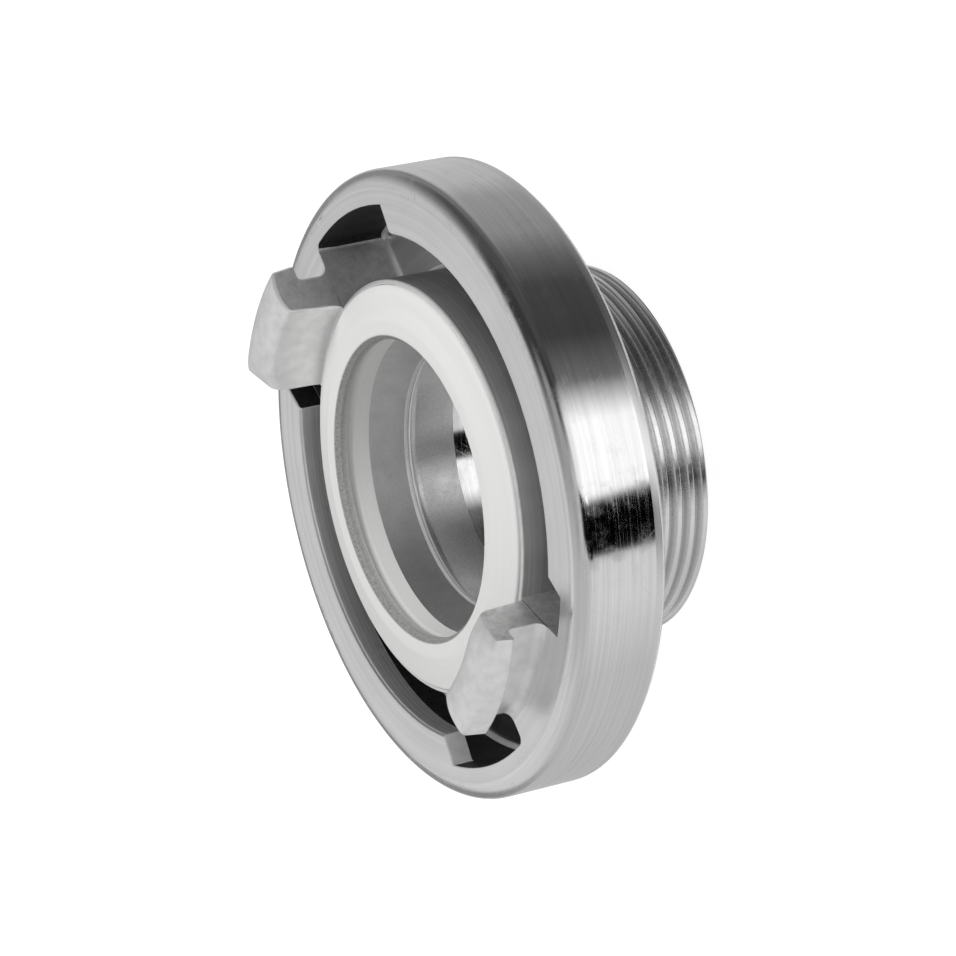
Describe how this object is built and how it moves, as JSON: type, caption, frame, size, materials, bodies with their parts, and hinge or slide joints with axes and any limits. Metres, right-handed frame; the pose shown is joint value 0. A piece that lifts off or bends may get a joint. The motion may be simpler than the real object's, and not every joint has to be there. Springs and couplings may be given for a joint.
{
  "type": "quarter turn hose coupling",
  "caption": "Symmetrical quarter-turn hose coupling half: round collar with hooked claws and ramped slots, a proud face seal round the waterway, and a male-threaded pipe tail.",
  "frame": {"origin": "middle of the tail's end face, where the part stands", "axes": "+Z along the waterway, out through the claws; +X through the middle of one entry opening"},
  "size_m": [0.1, 0.1, 0.0451],
  "materials": {
    "aluminium": "cast aluminium, machined bright on the collar, the lip and the tail",
    "white_elastomer": "matte white moulded elastomer"
  },
  "bodies": {
    "root": {"coupling_body": "aluminium", "face_seal": "white_elastomer"}
  },
  "joints": []
}
